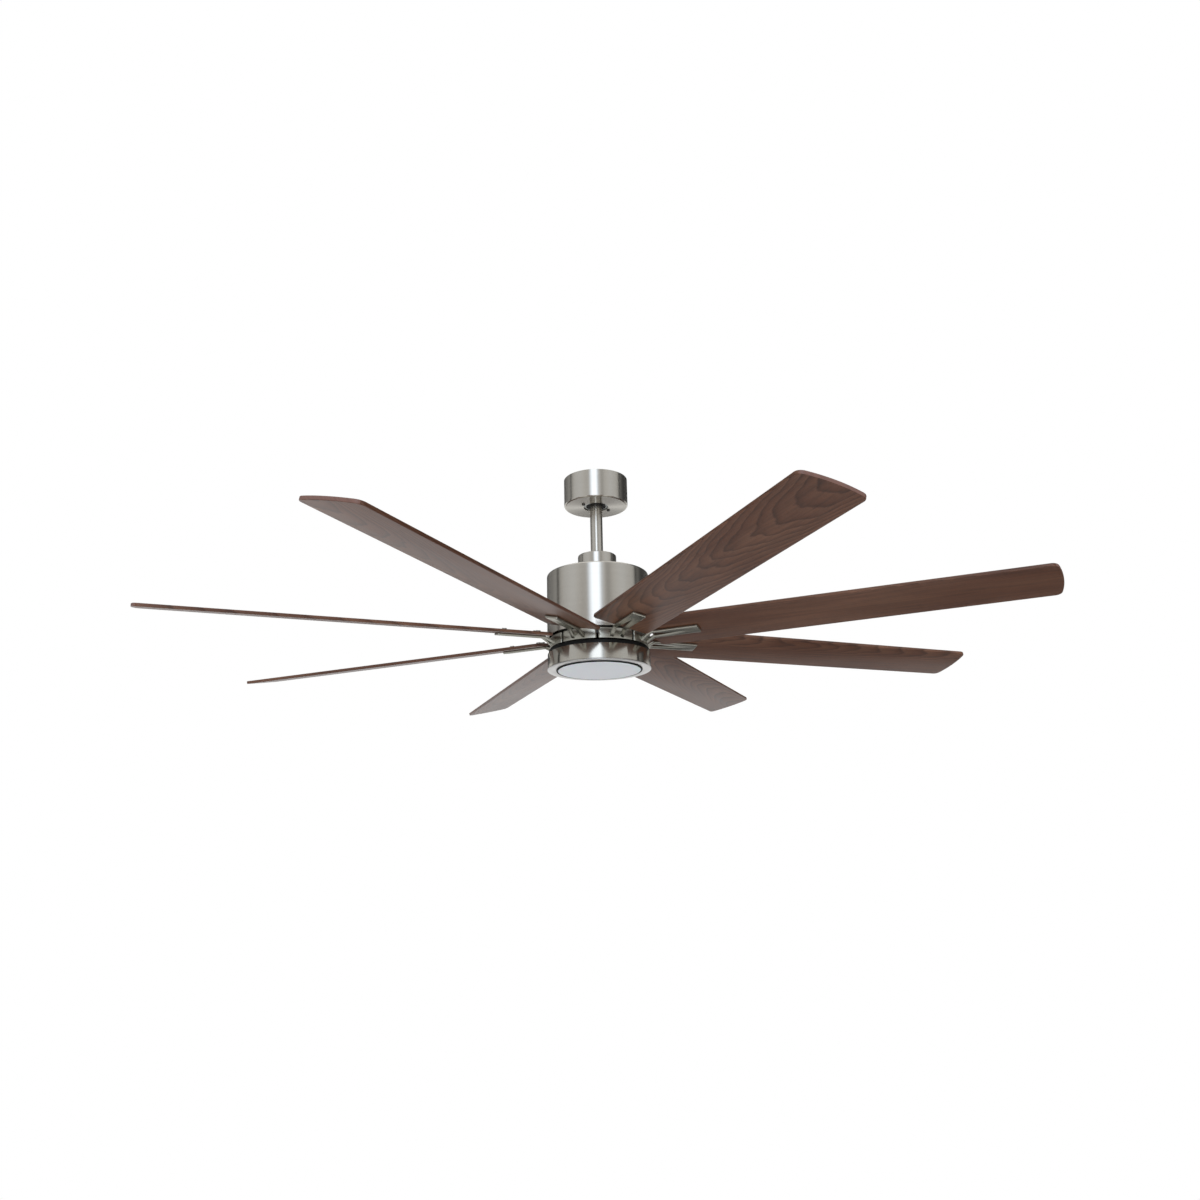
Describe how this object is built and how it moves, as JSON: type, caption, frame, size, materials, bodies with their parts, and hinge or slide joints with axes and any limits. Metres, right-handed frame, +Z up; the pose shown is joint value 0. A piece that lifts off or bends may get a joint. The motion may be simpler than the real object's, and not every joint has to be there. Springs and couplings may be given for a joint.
{
  "type": "ceiling fan with light",
  "caption": "Ceiling fan on a short downrod: straight walnut blades around a tall brushed drum motor housing, with a flat round LED light underneath.",
  "frame": {"origin": "centre of the hanger bracket's top face, on the ceiling plane and on the downrod's axis", "axes": "+Z points up into the ceiling and is the fan's axis of rotation; +X runs along the hanger bracket and along the first blade; +Y completes the right-handed set"},
  "size_m": [1.8286, 1.8286, 0.4295],
  "materials": {
    "zinc_steel": "zinc plated",
    "nickel": "brushed",
    "nickel_satin": "satin",
    "nickel_screw": "plated",
    "white_plastic": "matte",
    "lead_insulation": "matte",
    "connector_plastic": "matte",
    "black_nylon": "satin",
    "black_plastic": "matte",
    "bright_steel": "plated",
    "black_steel": "black oxide",
    "cast_zinc": "as cast",
    "lamination_steel": "stacked sheet",
    "copper": "enamelled wire",
    "black_paint": "satin black",
    "aluminium_sheet": "mill finish",
    "brass": "turned",
    "white_board": "white solder mask",
    "phosphor": "matte",
    "opal_acrylic": "frosted",
    "cast_aluminium": "as cast",
    "magnet": "nickel plated",
    "dark_casting": "satin black",
    "walnut": "walnut veneer, satin lacquer"
  },
  "bodies": {
    "ceiling_mount": {"hanger_bracket": "zinc_steel", "canopy": "nickel", "canopy_screws": "nickel_screw", "remote_receiver": "white_plastic", "supply_leads": "lead_insulation", "wire_connectors": "connector_plastic"},
    "hanging_body": {"hanger_ball": "black_nylon", "ball_cross_pin": "bright_steel", "downrod": "nickel", "coupling": "cast_zinc", "clevis_pin": "bright_steel", "hairpin": "bright_steel", "set_screws": "black_steel", "coupling_screws": "bright_steel", "coupling_cover": "nickel", "motor_housing": "nickel", "motor_controller": "black_plastic", "motor_shaft": "bright_steel", "stator_core": "lamination_steel", "stator_coils": "copper", "bearing_inner_races": "bright_steel", "light_adapter": "black_paint", "shaft_nut": "bright_steel", "light_pan": "nickel", "inner_screws": "bright_steel", "led_driver": "white_plastic", "led_tray": "aluminium_sheet", "led_standoffs": "brass", "led_board": "white_board", "led_chips": "phosphor", "trim_ring": "nickel_satin", "lens": "opal_acrylic", "light_leads": "lead_insulation", "light_plug": "white_plastic"},
    "rotor": {"rotor_top_shell": "cast_aluminium", "rotor_bottom_shell": "cast_aluminium", "rotor_magnets": "magnet", "rotor_screws": "bright_steel", "bearing_outer_races": "bright_steel", "bearing_balls": "bright_steel", "flywheel": "dark_casting", "arm_screws": "bright_steel", "blade_screws": "nickel_screw", "blade_washers": "nickel_screw", "blade_arm_1": "nickel_satin", "blade_arm_2": "nickel_satin", "blade_arm_3": "nickel_satin", "blade_arm_4": "nickel_satin", "blade_arm_5": "nickel_satin", "blade_arm_6": "nickel_satin", "blade_arm_7": "nickel_satin", "blade_arm_8": "nickel_satin", "blade_1": "walnut", "blade_2": "walnut", "blade_3": "walnut", "blade_4": "walnut", "blade_5": "walnut", "blade_6": "walnut", "blade_7": "walnut", "blade_8": "walnut"}
  },
  "joints": [
    {"name": "hanger_swing", "type": "hinge", "parent": "ceiling_mount", "child": "hanging_body", "pos_m": [0, 0, -0.03818], "axis": [1, 0, 0], "range_deg": [-15, 15]},
    {"name": "fan_spin", "type": "hinge", "parent": "hanging_body", "child": "rotor", "pos_m": [0, 0, -0.32], "axis": [0, 0, 1], "continuous": true}
  ]
}
